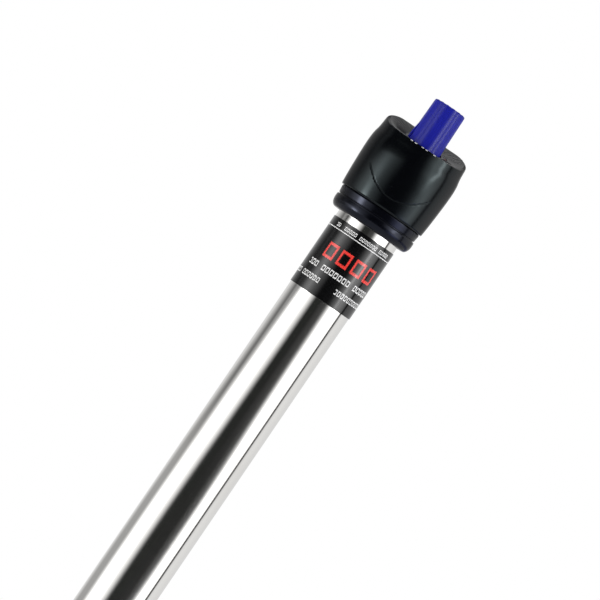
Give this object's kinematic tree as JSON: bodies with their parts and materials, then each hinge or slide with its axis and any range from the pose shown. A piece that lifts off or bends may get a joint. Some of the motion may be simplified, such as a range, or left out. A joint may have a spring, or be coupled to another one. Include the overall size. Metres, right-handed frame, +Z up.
{
  "type": "submersible aquarium heater",
  "caption": "Steel tube heater with a moulded head, blue temperature knob, cord inlet and a bimetal thermostat and wound element inside.",
  "frame": {"origin": "centre of the flat closed end of the tube, the lowest point when the heater hangs upright", "axes": "+Z up along the tube towards the head, -Y towards the knob at the front, +X to the right seen from the front"},
  "size_m": [0.0364, 0.0364, 0.3904],
  "materials": {
    "gloss_black_plastic": "moulded, glossy",
    "blue_plastic": "moulded, satin gloss",
    "polished_steel": "polished stainless steel",
    "label_film": "printed glossy film",
    "seal_rubber": "smooth black rubber",
    "stopper_rubber": "red-brown silicone rubber",
    "ceramic": "unglazed ceramic, opaque",
    "resistance_wire": "drawn, oxidised",
    "bearing_plastic": "natural white",
    "lead_sleeve": "silicone sleeve",
    "plated_steel": "nickel plated",
    "brass": "turned brass",
    "silver_contact": "silver faced",
    "amber_resin": "potting resin",
    "magnet": "sintered",
    "red_lens": "clear red, unlit",
    "phenolic": "moulded phenolic"
  },
  "bodies": {
    "heater": {"heater_tube": "polished_steel", "label_sleeve": "label_film", "gland_nut": "gloss_black_plastic", "slip_washer": "bearing_plastic", "tube_seal": "seal_rubber", "head_housing": "gloss_black_plastic", "top_cap": "gloss_black_plastic", "cord_gland": "seal_rubber", "indicator_lens": "red_lens", "pilot_lamp": "red_lens", "lamp_resistor": "amber_resin", "shaft_seal_upper": "seal_rubber", "shaft_seal_lower": "seal_rubber", "shaft_bearing": "bearing_plastic", "sealing_plug": "stopper_rubber", "thermostat_frame": "plated_steel", "screw_nut": "brass", "arm_block": "phenolic", "arm_rivet_upper": "brass", "arm_rivet_lower": "brass", "suppression_capacitor": "amber_resin", "thermal_fuse": "plated_steel", "upper_spacer": "ceramic", "lower_spacer": "ceramic", "element_core": "ceramic", "heating_coil": "resistance_wire", "core_rod": "plated_steel", "rod_nut_upper": "plated_steel", "rod_nut_lower": "plated_steel", "live_lead": "lead_sleeve", "neutral_lead": "bearing_plastic", "crimp_upper": "plated_steel", "crimp_lower": "plated_steel", "base_pad": "seal_rubber"},
    "knob": {"temperature_knob": "blue_plastic", "knob_shaft": "plated_steel", "shaft_clip": "plated_steel", "adjusting_screw": "brass"},
    "contact_lever": {"contact_arm": "brass", "snap_magnet": "magnet", "fixed_contact": "silver_contact"},
    "bimetal": {"bimetal_strip": "plated_steel", "moving_contact": "silver_contact"}
  },
  "joints": [
    {"name": "knob_turn", "type": "hinge", "parent": "heater", "child": "knob", "pos_m": [0, -0.0078, 0.3732], "axis": [0, 0, 1], "range_deg": [-55, 215]},
    {"name": "contact_arm_tilt", "type": "hinge", "parent": "heater", "child": "contact_lever", "pos_m": [0, -0.00295, 0.3155], "axis": [1, 0, 0], "range_deg": [-3.6, 1]},
    {"name": "bimetal_bend", "type": "hinge", "parent": "heater", "child": "bimetal", "pos_m": [0, 0.0019, 0.3155], "axis": [1, 0, 0], "range_deg": [0, 3], "stiffness_Nm_per_rad": 0.02}
  ],
  "couplings": [
    {"joint": "contact_arm_tilt", "follows": "knob_turn", "ratio": -0.016408}
  ]
}
